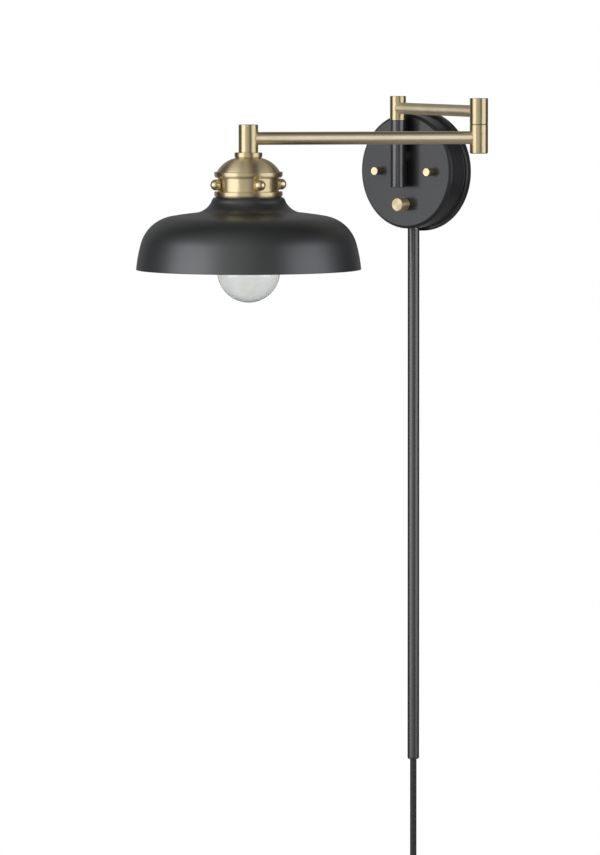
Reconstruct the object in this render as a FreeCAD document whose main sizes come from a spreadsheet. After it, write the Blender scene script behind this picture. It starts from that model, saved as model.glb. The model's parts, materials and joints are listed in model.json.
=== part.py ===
import FreeCAD, Part
import math
import operator
import os
from types import SimpleNamespace

import Sketcher

# Swing arm wall sconce, plug-in, with a spun metal shade.
# Frame: origin at the middle of the mounting bar's back face, on the wall. +X is to the right of a person who
# faces the wall, -Y points out of the wall, +Z is up. Millimetres and degrees.

DIMENSIONS = {
    # fits and allowances
    "fit_gap": 0.05,
    "turning_gap": 0.1,
    "edge_soft": 0.5,
    "tool_overrun": 1.0,
    "sheet_thickness": 1.1,
    "nut_thickness": 3.5,
    "thread_past_nut": 0.8,
    "spigot_length": 3.0,
    "cope_length": 40.0,
    # mounting bar, studs and nuts
    "bar_length": 108.0,
    "bar_width": 18.0,
    "bar_thickness": 2.0,
    "slot_spacing": 88.9,
    "slot_length": 10.0,
    "slot_width": 5.0,
    "stud_spacing": 70.0,
    "stud_radius": 2.0,
    "stud_start": 0.3,
    "stud_end_depth": 38.0,
    "stud_hole_gap": 0.3,
    "nut_radius": 4.6,
    "nut_rim_length": 1.7,
    "nut_face_depth": 42.9,
    "ground_screw_x": 14.0,
    "ground_head_radius": 3.8,
    "ground_head_height": 2.4,
    # rear pan and canopy
    "pan_radius": 64.0,
    "pan_depth": 9.4,
    "pan_round": 1.6,
    "pan_back_round": 3.6,
    "pan_hem": 3.4,
    "pan_hole_radius": 26.0,
    "canopy_radius": 60.9,
    "canopy_depth": 33.9,
    "canopy_bevel": 2.6,
    "canopy_round": 1.2,
    "canopy_roll": 0.6,
    # post and its boss
    "post_depth": 46.3,
    "post_radius": 7.85,
    "post_bore": 5.6,
    "post_top": 54.2,
    "post_bottom": -14.4,
    "post_cap_thickness": 2.2,
    "post_cap_soft": 0.7,
    "post_plug_length": 5.0,
    "boss_height": 16.0,
    "boss_radius": 7.0,
    "boss_bore": 3.0,
    "boss_tail_length": 5.2,
    "boss_nut_flats": 15.0,
    # swivels
    "spindle_radius": 4.9,
    "spindle_bore": 2.8,
    "spindle_tail": 10.0,
    "washer_radius": 7.6,
    "hub_radius": 8.5,
    "hub_cavity": 7.1,
    "hub_bottom": 54.8,
    "hub_floor_top": 62.0,
    "hub_top": 80.2,
    "hub_nut_flats": 11.6,
    "elbow_radius": 9.3,
    "elbow_cavity": 7.7,
    "elbow_top": 80.9,
    "elbow_floor_top": 60.0,
    "elbow_split": 54.25,
    "elbow_gap": 0.35,
    "elbow_roof": 48.0,
    "elbow_bottom": 24.6,
    "elbow_nut_flats": 12.6,
    "elbow_head_radius": 6.6,
    "elbow_head_thickness": 2.4,
    "elbow_pin_bottom": 43.0,
    "elbow_cap_thickness": 2.0,
    "elbow_cap_soft": 1.5,
    "cap_thickness": 1.2,
    # arms
    "first_arm_length": 235.7,
    "first_arm_heading": -31.52,
    "first_arm_height": 67.4,
    "first_arm_radius": 6.0,
    "second_arm_length": 235.4,
    "second_arm_heading": 225.57,
    "second_arm_height": 40.9,
    "second_arm_radius": 6.6,
    "arm_wall": 1.2,
    "arm_wire_hole": 4.4,
    "wire_hole_length": 12.0,
    "wire_radius": 1.1,
    "wire_start": 9.5,
    "wire_side": 1.5,
    # stem, collar and shade holder
    "stem_radius": 9.9,
    "stem_cavity": 8.0,
    "stem_top": 54.9,
    "stem_bottom": 26.7,
    "stem_floor_top": 31.0,
    "nipple_radius": 4.8,
    "nipple_bore": 3.3,
    "nipple_top": 36.0,
    "nipple_bottom": -2.6,
    "nipple_nut_flats": 14.0,
    "collar_radius": 14.1,
    "collar_bottom": 21.3,
    "collar_soft": 1.8,
    "dome_top_radius": 13.0,
    "dome_radius": 32.0,
    "dome_bottom": 7.2,
    "dome_bow": 28.5,
    "dome_inset": 0.4,
    "band_radius": 30.8,
    "band_bore": 29.3,
    "ring_radius": 34.6,
    "ring_height": 6.1,
    "ring_round": 3.2,
    "holder_bottom": -18.8,
    "screw_height": -5.6,
    "screw_turn": 39.33,
    "screw_head_radius": 5.6,
    "screw_head_depth": 34.9,
    "screw_head_soft": 1.8,
    # shade
    "shade_sheet": 1.0,
    "lip_radius": 28.0,
    "lip_top": -2.0,
    "neck_radius": 35.4,
    "neck_edge": 0.7,
    "neck_out": 2.5,
    "neck_drop": 4.6,
    "flare_bow": 21.0,
    "flare_out": 17.6,
    "flare_drop": 15.3,
    "shoulder_inset": 35.5,
    "shoulder_rise": 54.4,
    "corner_bow": 38.5,
    "corner_inset": 4.4,
    "corner_rise": 25.4,
    "wall_bow": 140.0,
    "rim_radius": 114.0,
    "rim_height": -92.0,
    # socket and bulb
    "socket_radius": 18.3,
    "socket_bore": 14.35,
    "socket_roof": -16.0,
    "socket_bottom": -47.0,
    "socket_wire_hole": 3.0,
    "socket_cap_sheet": 1.2,
    "socket_cap_skirt": 9.0,
    "socket_cap_gap": 0.4,
    "shell_sheet": 0.6,
    "shell_hole": 7.5,
    "shell_roof": -17.1,
    "shell_bottom": -46.2,
    "shell_gap": 0.15,
    "contact_radius": 3.2,
    "contact_top": -16.4,
    "bulb_radius": 32.0,
    "bulb_centre": -93.2,
    "bulb_neck_radius": 12.9,
    "bulb_neck_top": -42.0,
    "glass_thickness": 0.8,
    "base_radius": 13.4,
    "base_bottom": -46.5,
    "base_sheet": 0.5,
    "base_shoulder": -24.5,
    "base_crown": -20.8,
    "base_crown_radius": 8.4,
    "thread_pitch": 3.6,
    "thread_depth": 0.4,
    "thread_bow": 1.5,
    "insulator_radius": 7.6,
    "insulator_bottom": -22.5,
    "insulator_top": -18.8,
    "solder_radius": 3.6,
    "mount_top": -44.0,
    "mount_foot_radius": 9.5,
    "mount_waist": -58.0,
    "mount_waist_radius": 3.2,
    "mount_bow": 18.0,
    "mount_tip": -72.0,
    "mount_tip_radius": 2.4,
    "filament_radius": 0.35,
    # switch
    "switch_height": -34.9,
    "switch_back_depth": 12.0,
    "switch_body_radius": 9.5,
    "bushing_radius": 5.0,
    "bushing_end_depth": 37.6,
    "shaft_radius": 3.0,
    "shaft_start_depth": 20.0,
    "shaft_end_depth": 43.9,
    "switch_nut_radius": 5.8,
    "switch_nut_thickness": 1.9,
    "knob_radius": 7.0,
    "knob_neck_radius": 6.7,
    "knob_wall": 0.6,
    "knob_rim_length": 2.1,
    "knob_face_depth": 48.1,
    # cord cover tube
    "tube_depth": 19.2,
    "tube_radius": 6.3,
    "tube_bore": 5.6,
    "tube_neck_radius": 5.3,
    "tube_flange_radius": 8.0,
    "tube_flange_gap": 2.5,
    "tube_flange_thickness": 3.5,
    "tube_screw_length": 12.0,
    "tube_top": -61.0,
    "tube_bottom": -632.5,
    "bush_length": 6.0,
    "bush_soft": 2.2,
    "bush_spigot": 8.0,
    # supply cord, connectors and plug
    "lead_radius": 3.5,
    "lead_past_tube": 10.0,
    "connector_side": 22.0,
    "connector_bottom": 8.0,
    "coil_radius": 41.0,
    "coil_bundle_radius": 9.7,
    "coil_height": -859.0,
    "strand_offset": 6.17,
    "strand_angle": 36.0,
    "tie_gap": 0.4,
    "tie_thickness": 1.2,
    "tie_width": 8.0,
    "plug_drop": 16.0,
    "plug_length": 58.0,
    "plug_radius": 14.2,
    "blade_side": 6.35,
    "blade_width": 6.35,
    "blade_thickness": 1.5,
    "blade_length": 16.0,
    "pin_radius": 2.4,
    "pin_length": 19.0,
    "pin_side": 8.3,
}

doc = FreeCAD.newDocument("sconce")


# --- sizes that carry their sheet expression ---------------------------------------------------------------

OPERATIONS = {"+": operator.add, "-": operator.sub, "*": operator.mul, "/": operator.truediv}


class Size:
    """A length that knows its value and the spreadsheet expression it comes from."""

    def __init__(self, value, text):
        self.value = value
        self.text = text

    def __add__(self, other):
        return combine(self, "+", other)

    def __radd__(self, other):
        return combine(other, "+", self)

    def __sub__(self, other):
        return combine(self, "-", other)

    def __rsub__(self, other):
        return combine(other, "-", self)

    def __mul__(self, other):
        return combine(self, "*", other)

    def __rmul__(self, other):
        return combine(other, "*", self)

    def __truediv__(self, other):
        return combine(self, "/", other)

    def __neg__(self):
        return combine(0.0, "-", self)


def size_of(amount):
    if isinstance(amount, Size):
        return amount
    return Size(float(amount), f"({float(amount):.6f})")


def combine(left, sign, right):
    left = size_of(left)
    right = size_of(right)
    return Size(OPERATIONS[sign](left.value, right.value), f"({left.text} {sign} {right.text})")


def make_sheet():
    """The spreadsheet of driving dimensions, and a name for each of its cells."""
    sheet = doc.addObject("Spreadsheet::Sheet", "Sizes")
    names = {}
    for row, (alias, value) in enumerate(DIMENSIONS.items(), start=1):
        sheet.set(f"A{row}", alias)
        sheet.set(f"B{row}", str(value))
        sheet.setAlias(f"B{row}", alias)
        names[alias] = Size(value, f"Sizes.{alias}")
    doc.recompute()
    return SimpleNamespace(**names)


d = make_sheet()


def bind(obj, prop, amount):
    obj.setExpression(prop, size_of(amount).text)


# --- sketches ----------------------------------------------------------------------------------------------

def soft(x, y, radius):
    """A corner between two straight sides along the sketch axes, rounded."""
    return ("soft", size_of(x), size_of(y), size_of(radius))


def bow(x, y, radius):
    """An arc that arrives at x, y. A positive radius turns left and a negative one turns right."""
    return ("bow", size_of(x), size_of(y), size_of(radius))


def flatten(outline):
    """The outline as points, each with the radius of the arc that arrives there, or None."""
    items = [item if item[0] in ("soft", "bow") else ("to", size_of(item[0]), size_of(item[1]), None)
             for item in outline]
    points = []
    for i, (kind, x, y, radius) in enumerate(items):
        if kind != "soft":
            points.append((x, y, radius))
            continue
        before = items[i - 1]
        after = items[(i + 1) % len(items)]
        way_in = direction(before, items[i])
        way_out = direction(items[i], after)
        turn = way_in[0] * way_out[1] - way_in[1] * way_out[0]
        points.append((x - radius * way_in[0], y - radius * way_in[1], None))
        points.append((x + radius * way_out[0], y + radius * way_out[1], radius * turn))
    return points


def direction(start, end):
    dx = end[1].value - start[1].value
    dy = end[2].value - start[2].value
    if abs(dx) > abs(dy):
        return (math.copysign(1.0, dx), 0.0)
    return (0.0, math.copysign(1.0, dy))


def arc_of(start, end, radius):
    """The shorter arc from start to end. Its geometry always runs counter-clockwise."""
    if radius < 0:
        return arc_of(end, start, -radius)
    chord = end - start
    reach = math.sqrt(max(radius ** 2 - (chord.Length / 2) ** 2, 0.0))
    left = FreeCAD.Vector(-chord.y, chord.x, 0).normalize()
    centre = (start + end) * 0.5 + left * reach
    first = math.atan2(start.y - centre.y, start.x - centre.x)
    last = math.atan2(end.y - centre.y, end.x - centre.x)
    circle = Part.Circle(centre, FreeCAD.Vector(0, 0, 1), radius)
    return Part.ArcOfCircle(circle, first, last if last > first else last + 2 * math.pi)


def hold_point(sketch, index, end, x, y):
    """Fix one end of a sketch line by the sheet's sizes."""
    for kind, amount, axis in (("DistanceX", x, -2), ("DistanceY", y, -1)):
        if abs(amount.value) < 1e-9:
            sketch.addConstraint(Sketcher.Constraint("PointOnObject", index, end, axis))
            continue
        number = sketch.addConstraint(Sketcher.Constraint(kind, -1, 1, index, end, amount.value))
        bind(sketch, f"Constraints[{number}]", amount)


def draw_outline(sketch, outline):
    """Draw a closed outline whose points and arcs are all bound to the sheet."""
    points = flatten(outline)
    ends = []
    for i, (x, y, radius) in enumerate(points):
        start = FreeCAD.Vector(points[i - 1][0].value, points[i - 1][1].value, 0)
        end = FreeCAD.Vector(x.value, y.value, 0)
        if radius is None:
            index = sketch.addGeometry(Part.LineSegment(start, end))
            ends.append((index, 1, 2))
            continue
        index = sketch.addGeometry(arc_of(start, end, radius.value))
        ends.append((index, 1, 2) if radius.value > 0 else (index, 2, 1))
        number = sketch.addConstraint(Sketcher.Constraint("Radius", index, abs(radius.value)))
        bind(sketch, f"Constraints[{number}]", radius if radius.value > 0 else -radius)
    for i, (index, first, last) in enumerate(ends):
        following = ends[(i + 1) % len(ends)]
        sketch.addConstraint(Sketcher.Constraint("Coincident", index, last, following[0], following[1]))
        hold_point(sketch, index, last, points[i][0], points[i][1])


def draw_circles(sketch, circles):
    for x, y, radius in circles:
        x, y, radius = size_of(x), size_of(y), size_of(radius)
        centre = FreeCAD.Vector(x.value, y.value, 0)
        index = sketch.addGeometry(Part.Circle(centre, FreeCAD.Vector(0, 0, 1), radius.value))
        number = sketch.addConstraint(Sketcher.Constraint("Radius", index, radius.value))
        bind(sketch, f"Constraints[{number}]", radius)
        hold_point(sketch, index, 3, x, y)


def new_sketch(body, plane):
    sketch = body.newObject("Sketcher::SketchObject", "Sketch")
    support = [item for item in body.Origin.OriginFeatures if item.Role == plane][0]
    sketch.AttachmentSupport = [(support, "")]
    sketch.MapMode = "FlatFace"
    return sketch


# --- ways to make a piece ----------------------------------------------------------------------------------

OUT_OF_WALL = FreeCAD.Rotation(FreeCAD.Vector(1, 0, 0), 90)


def place(obj, x=0.0, y=0.0, z=0.0, rotation=FreeCAD.Rotation()):
    at = FreeCAD.Vector(size_of(x).value, size_of(y).value, size_of(z).value)
    obj.Placement = FreeCAD.Placement(at, rotation)
    return obj


def turned(label, outline):
    """A body of revolution about its own Z axis. The outline gives radius and height."""
    body = doc.addObject("PartDesign::Body", label)
    sketch = new_sketch(body, "XZ_Plane")
    draw_outline(sketch, outline)
    revolution = body.newObject("PartDesign::Revolution", "Revolution")
    revolution.Profile = sketch
    revolution.ReferenceAxis = (sketch, ["V_Axis"])
    revolution.Angle = 360
    return body


def extruded(label, length, outline=None, circles=(), start=0.0):
    """A body raised from its own XY plane, from the start height on."""
    body = doc.addObject("PartDesign::Body", label)
    sketch = new_sketch(body, "XY_Plane")
    if outline:
        draw_outline(sketch, outline)
    draw_circles(sketch, circles)
    bind(sketch, "AttachmentOffset.Base.z", start)
    pad = body.newObject("PartDesign::Pad", "Pad")
    pad.Profile = sketch
    bind(pad, "Length", length)
    return body


def rod(radius, length, x=0.0, y=0.0, z=0.0, way=(0, 0, 1)):
    """A plain cylinder from a point along a direction: a tool for holes, or a part of a piece."""
    cylinder = doc.addObject("Part::Cylinder", "Rod")
    bind(cylinder, "Radius", radius)
    bind(cylinder, "Height", length)
    return place(cylinder, x, y, z, FreeCAD.Rotation(FreeCAD.Vector(0, 0, 1), FreeCAD.Vector(*way)))


def cut(base, *tools):
    """The base with each tool cut out of it, under the base's own name."""
    label = base.Label
    base.Label = f"{label} blank"
    for tool in tools:
        result = doc.addObject("Part::Cut", "Cut")
        result.Base = base
        result.Tool = tool
        base = result
    base.Label = label
    return base


def group(label, pieces):
    """Identical or matching pieces that share one node."""
    for number, piece in enumerate(pieces, start=1):
        piece.Label = f"{label} piece {number}"
    compound = doc.addObject("Part::Compound", label)
    compound.Label = label
    compound.Links = pieces
    return compound


def ring_outline(inner, outer, bottom, top):
    return [(inner, bottom), (outer, bottom), (outer, top), (inner, top)]


def hexagon(flats):
    """The corners of a hexagon with one pair of flats along X."""
    corner = flats / math.sqrt(3.0)
    half = flats / 2.0
    points = [(corner, 0.0), (corner / 2.0, half), (-corner / 2.0, half)]
    return points + [(-corner, 0.0), (-corner / 2.0, -half), (corner / 2.0, -half)]


def hex_nut(label, flats, bore, thickness, start):
    return extruded(label, thickness, outline=hexagon(flats), circles=[(0, 0, bore)], start=start)


def bent_rod(radius, points, share=0.45):
    """A round rod along straight runs joined by tangent arcs, as large as the runs allow."""
    points = [FreeCAD.Vector(*point) for point in points]
    edges = []
    start = points[0]
    radii = []
    for before, corner, after in zip(points, points[1:], points[2:]):
        way_in = (corner - before).normalize()
        way_out = (after - corner).normalize()
        half_turn = way_in.getAngle(way_out) / 2
        run = min((corner - before).Length, (after - corner).Length)
        bend = share * run / math.tan(half_turn)
        first = corner - way_in * (share * run)
        last = corner + way_out * (share * run)
        inward = (way_out - way_in).normalize()
        middle = corner + inward * (bend / math.cos(half_turn) - bend)
        edges.append(Part.LineSegment(start, first).toShape())
        edges.append(Part.Arc(first, middle, last).toShape())
        radii.append(round(bend, 1))
        start = last
    edges.append(Part.LineSegment(start, points[-1]).toShape())
    path = Part.Wire(edges)
    section = Part.Wire(Part.Circle(points[0], points[1] - points[0], radius).toShape())
    return path.makePipeShell([section], True, False), path.Length, radii


# --- mounting bar, pan and canopy --------------------------------------------------------------------------

def make_crossbar():
    half_length = d.bar_length / 2.0
    half_width = d.bar_width / 2.0
    plate = [(-half_length, -half_width), (half_length, -half_width), (half_length, half_width),
             (-half_length, half_width)]
    screw_hole = d.stud_radius + d.fit_gap
    holes = [(d.stud_spacing / 2.0, 0, screw_hole), (-d.stud_spacing / 2.0, 0, screw_hole),
             (d.ground_screw_x, 0, screw_hole)]
    bar = place(extruded("crossbar", d.bar_thickness, outline=plate, circles=holes), rotation=OUT_OF_WALL)
    slots = [make_slot(d.slot_spacing / 2.0), make_slot(-d.slot_spacing / 2.0)]
    return cut(bar, *slots)


def make_slot(x):
    """A tool for one wall screw slot: straight sides with a round end each way."""
    half_width = d.slot_width / 2.0
    left = x - d.slot_length / 2.0 + half_width
    right = x + d.slot_length / 2.0 - half_width
    outline = [(right, -half_width),
               bow(right + half_width, 0, half_width), bow(right, half_width, half_width),
               (left, half_width), bow(left - half_width, 0, half_width), bow(left, -half_width, half_width)]
    depth = d.bar_thickness + 2.0 * d.tool_overrun
    return place(extruded("slot", depth, outline=outline, start=-d.tool_overrun), rotation=OUT_OF_WALL)


def at_both_studs(label, outline):
    """The same turned piece on each of the two studs."""
    pieces = [place(turned(label, outline), side * d.stud_spacing / 2.0, 0, 0, OUT_OF_WALL)
              for side in (-1, 1)]
    return group(label, pieces)


def make_canopy_studs():
    end = d.stud_end_depth
    return at_both_studs("canopy_studs", [
        (0, d.stud_start), (d.stud_radius, d.stud_start), (d.stud_radius, end - d.edge_soft),
        (d.stud_radius - d.edge_soft, end), (0, end)])


def make_ground_screw():
    underside = d.bar_thickness
    top = underside + d.ground_head_height
    outline = [(0, d.stud_start), (d.stud_radius, d.stud_start), (d.stud_radius, underside),
               (d.ground_head_radius, underside), soft(d.ground_head_radius, top, 2.0 * d.edge_soft),
               (0, top)]
    return place(turned("ground_screw", outline), d.ground_screw_x, 0, 0, OUT_OF_WALL)


def make_rear_pan():
    """A shallow stamped pan with a hem turned in at the wall. It makes the step behind the canopy."""
    sheet = d.sheet_thickness
    face = d.pan_depth - sheet
    inner = d.pan_radius - sheet
    hem = inner - d.pan_hem
    outline = [(d.pan_hole_radius, face), (inner, face), soft(inner, sheet, d.pan_back_round - sheet),
               (hem, sheet), (hem, 0), soft(d.pan_radius, 0, d.pan_back_round),
               soft(d.pan_radius, d.pan_depth, d.pan_round), (d.pan_hole_radius, d.pan_depth)]
    pan = place(turned("rear_pan", outline), rotation=OUT_OF_WALL)
    return cut(pan, *stud_hole_tools())


def stud_hole_tools():
    radius = d.stud_radius + d.stud_hole_gap
    length = d.canopy_depth + 2.0 * d.tool_overrun
    return [rod(radius, length, side * d.stud_spacing / 2.0, -d.tool_overrun, 0, (0, -1, 0))
            for side in (-1, 1)]


def rolled_edge(radius, bottom, roll):
    """A half-round bead of this size round a wall's lower edge, drawn upwards."""
    return [(radius, bottom), bow(radius + roll, bottom + roll, roll), bow(radius, bottom + 2.0 * roll, roll)]


def bevelled_edge(radius, top, bevel, rounding):
    """From a wall up over a 45 degree bevel to a flat face, with both of its corners rounded."""
    tangent = rounding * math.tan(math.radians(22.5))
    offset = tangent * math.cos(math.radians(45.0))
    return [(radius, top - bevel - tangent), bow(radius - offset, top - bevel + offset, rounding),
            (radius - bevel + offset, top - offset), bow(radius - bevel - tangent, top, rounding)]


def make_canopy_cover():
    """A spun cup with a rolled back edge and a bevelled front edge, drilled for what passes through."""
    sheet = d.sheet_thickness
    inner = d.canopy_radius - sheet
    face = d.canopy_depth - sheet
    inner_bevel = d.canopy_bevel - (2.0 - math.sqrt(2.0)) * sheet
    outline = [(inner, d.pan_depth), *rolled_edge(d.canopy_radius, d.pan_depth, d.canopy_roll),
               *bevelled_edge(d.canopy_radius, d.canopy_depth, d.canopy_bevel, d.canopy_round),
               (0, d.canopy_depth), (0, face), (inner - inner_bevel, face), (inner, face - inner_bevel)]
    cover = place(turned("canopy_cover", outline), rotation=OUT_OF_WALL)
    neck_hole = rod(d.tube_neck_radius + d.fit_gap, d.tube_screw_length, 0, -d.tube_depth,
                    d.tube_top - d.tube_screw_length / 2.0)
    return cut(cover, face_hole(d.boss_height), face_hole(d.switch_height), neck_hole, *stud_hole_tools())


def face_hole(height):
    """A tool for a bushing's hole through the canopy's face."""
    through = d.sheet_thickness + 2.0 * d.tool_overrun
    start = d.canopy_depth - d.sheet_thickness - d.tool_overrun
    return rod(d.bushing_radius + d.fit_gap, through, 0, -start, height, (0, -1, 0))


def make_thumb_nuts():
    """Round brass cap nuts on the studs, each with a wider rim at its face and a blind thread."""
    bore = d.stud_radius + d.fit_gap
    neck = d.nut_radius - d.edge_soft
    face = d.nut_face_depth
    rim = face - d.nut_rim_length
    blind = d.stud_end_depth + d.stud_start
    return at_both_studs("thumb_nuts", [
        (bore, d.canopy_depth), (neck, d.canopy_depth), (neck, rim - d.edge_soft), (d.nut_radius, rim),
        (d.nut_radius, face - d.edge_soft), (neck, face), (0, face), (0, blind), (bore, blind)])


# --- post --------------------------------------------------------------------------------------------------

def make_post_boss():
    """The hollow boss between canopy and post, with a threaded tail through the canopy's face."""
    tail_end = d.canopy_depth - d.boss_tail_length
    outline = [(d.boss_bore, tail_end), (d.bushing_radius, tail_end), (d.bushing_radius, d.canopy_depth),
               (d.boss_radius, d.canopy_depth), (d.boss_radius, d.post_depth), (d.boss_bore, d.post_depth)]
    boss = place(turned("post_boss", outline), 0, 0, d.boss_height, OUT_OF_WALL)
    return cut(boss, coping_tool(d.post_radius, 0, -d.post_depth, d.boss_height))


def coping_tool(radius, x, y, height):
    """An upright cylinder that shapes a piece's end to a barrel or post."""
    return rod(radius, d.cope_length, x, y, height - d.cope_length / 2.0)


def make_boss_nut():
    start = d.canopy_depth - d.sheet_thickness - d.nut_thickness
    nut = hex_nut("boss_nut", d.boss_nut_flats, d.bushing_radius + d.fit_gap, d.nut_thickness, start)
    return place(nut, 0, 0, d.boss_height, OUT_OF_WALL)


def on_post(body):
    return place(body, 0, -d.post_depth, 0)


def make_post_tube():
    tube = on_post(turned("post_tube", ring_outline(d.post_bore, d.post_radius, d.post_bottom, d.post_top)))
    through = d.post_radius + d.tool_overrun
    return cut(tube, rod(d.boss_bore, through, 0, -d.post_depth, d.boss_height, (0, 1, 0)))


def make_post_end_cap():
    bottom = d.post_bottom - d.post_cap_thickness
    plug_radius = d.post_bore - d.fit_gap
    plug_top = d.post_bottom + d.post_plug_length
    outline = [(0, bottom), soft(d.post_radius, bottom, d.post_cap_soft), (d.post_radius, d.post_bottom),
               (plug_radius, d.post_bottom), (plug_radius, plug_top), (0, plug_top)]
    return on_post(turned("post_end_cap", outline))


# --- hub swivel --------------------------------------------------------------------------------------------

def make_hub_spindle():
    shoulder = d.post_bore - d.fit_gap
    tail = d.post_top - d.spindle_tail
    top = d.hub_floor_top + d.turning_gap + d.nut_thickness + d.thread_past_nut
    outline = [(d.spindle_bore, tail), (shoulder, tail), (shoulder, d.post_top),
               (d.spindle_radius, d.post_top), (d.spindle_radius, top), (d.spindle_bore, top)]
    return on_post(turned("hub_spindle", outline))


def make_hub_washer():
    inner = d.spindle_radius + d.fit_gap
    outline = ring_outline(inner, d.washer_radius, d.post_top, d.hub_bottom - d.turning_gap)
    return on_post(turned("hub_washer", outline))


def make_hub_nut():
    start = d.hub_floor_top + d.turning_gap
    return on_post(hex_nut("hub_nut", d.hub_nut_flats, d.spindle_radius + d.fit_gap, d.nut_thickness, start))


def barrel_outline(outer, cavity, bore, floor, floor_top, top):
    """A barrel with a drilled floor and an open top."""
    return [(bore, floor), (outer, floor), (outer, top), (cavity, top), (cavity, floor_top),
            (bore, floor_top)]


def cap_outline(outer, cavity, top):
    """A flat cap with a softened edge and a spigot that presses into a barrel's cavity."""
    bottom = top - d.cap_thickness
    spigot = cavity - d.fit_gap
    spigot_end = bottom - d.spigot_length
    return [(0, spigot_end), (spigot, spigot_end), (spigot, bottom), (outer, bottom),
            soft(outer, top, d.edge_soft), (0, top)]


def wire_hole(at, height, heading):
    """A tool for the hole that lets the conductors out of a barrel into an arm."""
    return rod(d.arm_wire_hole, d.wire_hole_length, at[0], at[1], height, way_of(heading))


def make_hub_barrel():
    bore = d.spindle_radius + d.fit_gap
    outline = barrel_outline(d.hub_radius, d.hub_cavity, bore, d.hub_bottom, d.hub_floor_top,
                             d.hub_top - d.cap_thickness)
    barrel = on_post(turned("hub_barrel", outline))
    return cut(barrel, wire_hole(HUB_AT, d.first_arm_height, d.first_arm_heading))


def make_hub_cap():
    return on_post(turned("hub_cap", cap_outline(d.hub_radius, d.hub_cavity, d.hub_top)))


# --- arms --------------------------------------------------------------------------------------------------

def way_of(heading):
    angle = math.radians(heading.value)
    return (math.cos(angle), math.sin(angle), 0.0)


def point_along(start, heading, distance):
    way = way_of(heading)
    return (start[0] + way[0] * distance, start[1] + way[1] * distance)


HUB_AT = (0.0, -DIMENSIONS["post_depth"])
ELBOW_AT = point_along(HUB_AT, d.first_arm_heading, DIMENSIONS["first_arm_length"])
STEM_AT = point_along(ELBOW_AT, d.second_arm_heading, DIMENSIONS["second_arm_length"])


def make_arm_tube(label, start, end, heading, length, height, radius, barrels):
    """A straight tube between two upright barrels, coped to fit them."""
    tube = rod(radius, length, start[0], start[1], height, way_of(heading))
    tube.Label = label
    bore = rod(radius - d.arm_wall, length, start[0], start[1], height, way_of(heading))
    return cut(tube, bore, coping_tool(barrels[0], *start, height), coping_tool(barrels[1], *end, height))


def make_arm_wires(label, start, heading, length, height):
    """Two insulated conductors inside an arm tube."""
    way = way_of(heading)
    wires = []
    for side in (-1, 1):
        x = start[0] + d.wire_start * way[0] - side * d.wire_side * way[1]
        y = start[1] + d.wire_start * way[1] + side * d.wire_side * way[0]
        wires.append(rod(d.wire_radius, length - 2.0 * d.wire_start, x, y, height, way))
    return group(label, wires)


# --- elbow swivel ------------------------------------------------------------------------------------------

def on_elbow(body):
    return place(body, ELBOW_AT[0], ELBOW_AT[1], 0)


def make_elbow_upper_barrel():
    outline = barrel_outline(d.elbow_radius, d.elbow_cavity, d.spindle_radius + d.fit_gap,
                             d.elbow_split + d.elbow_gap, d.elbow_floor_top, d.elbow_top - d.cap_thickness)
    barrel = on_elbow(turned("elbow_upper_barrel", outline))
    return cut(barrel, wire_hole(ELBOW_AT, d.first_arm_height, d.first_arm_heading + 180.0))


def make_elbow_top_cap():
    return on_elbow(turned("elbow_top_cap", cap_outline(d.elbow_radius, d.elbow_cavity, d.elbow_top)))


def make_elbow_spindle():
    """The hollow pin of the elbow: its head sits in the upper barrel and its tail takes the nut."""
    seat = d.elbow_floor_top
    head_top = seat + d.elbow_head_thickness
    outline = [(d.spindle_bore, d.elbow_pin_bottom), (d.spindle_radius, d.elbow_pin_bottom),
               (d.spindle_radius, seat), (d.elbow_head_radius, seat), (d.elbow_head_radius, head_top),
               (d.spindle_bore, head_top)]
    return on_elbow(turned("elbow_spindle", outline))


def make_elbow_washer():
    inner = d.spindle_radius + d.fit_gap
    outline = ring_outline(inner, d.elbow_radius - d.edge_soft, d.elbow_split - d.elbow_gap,
                           d.elbow_split + d.elbow_gap)
    return on_elbow(turned("elbow_washer", outline))


def make_elbow_nut():
    start = d.elbow_roof - d.turning_gap - d.nut_thickness
    bore = d.spindle_radius + d.fit_gap
    return on_elbow(hex_nut("elbow_nut", d.elbow_nut_flats, bore, d.nut_thickness, start))


def make_elbow_lower_barrel():
    """A barrel with its drilled roof up: it turns on the elbow spindle."""
    bore = d.spindle_radius + d.fit_gap
    top = d.elbow_split - d.elbow_gap - d.turning_gap
    bottom = d.elbow_bottom + d.elbow_cap_thickness
    outline = [(d.elbow_cavity, bottom), (d.elbow_radius, bottom), (d.elbow_radius, top), (bore, top),
               (bore, d.elbow_roof), (d.elbow_cavity, d.elbow_roof)]
    barrel = on_elbow(turned("elbow_lower_barrel", outline))
    return cut(barrel, wire_hole(ELBOW_AT, d.second_arm_height, d.second_arm_heading))


def make_elbow_bottom_cap():
    bottom = d.elbow_bottom
    rim = bottom + d.elbow_cap_thickness
    spigot = d.elbow_cavity - d.fit_gap
    outline = [(0, bottom), soft(d.elbow_radius, bottom, d.elbow_cap_soft), (d.elbow_radius, rim),
               (spigot, rim), (spigot, rim + d.spigot_length), (0, rim + d.spigot_length)]
    return on_elbow(turned("elbow_bottom_cap", outline))


# --- stem and shade holder ---------------------------------------------------------------------------------

def on_stem(body):
    return place(body, STEM_AT[0], STEM_AT[1], 0)


def make_stem_barrel():
    outline = barrel_outline(d.stem_radius, d.stem_cavity, d.nipple_radius + d.fit_gap, d.stem_bottom,
                             d.stem_floor_top, d.stem_top - d.cap_thickness)
    barrel = on_stem(turned("stem_barrel", outline))
    return cut(barrel, wire_hole(STEM_AT, d.second_arm_height, d.second_arm_heading - 180.0))


def make_stem_cap():
    return on_stem(turned("stem_cap", cap_outline(d.stem_radius, d.stem_cavity, d.stem_top)))


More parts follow.
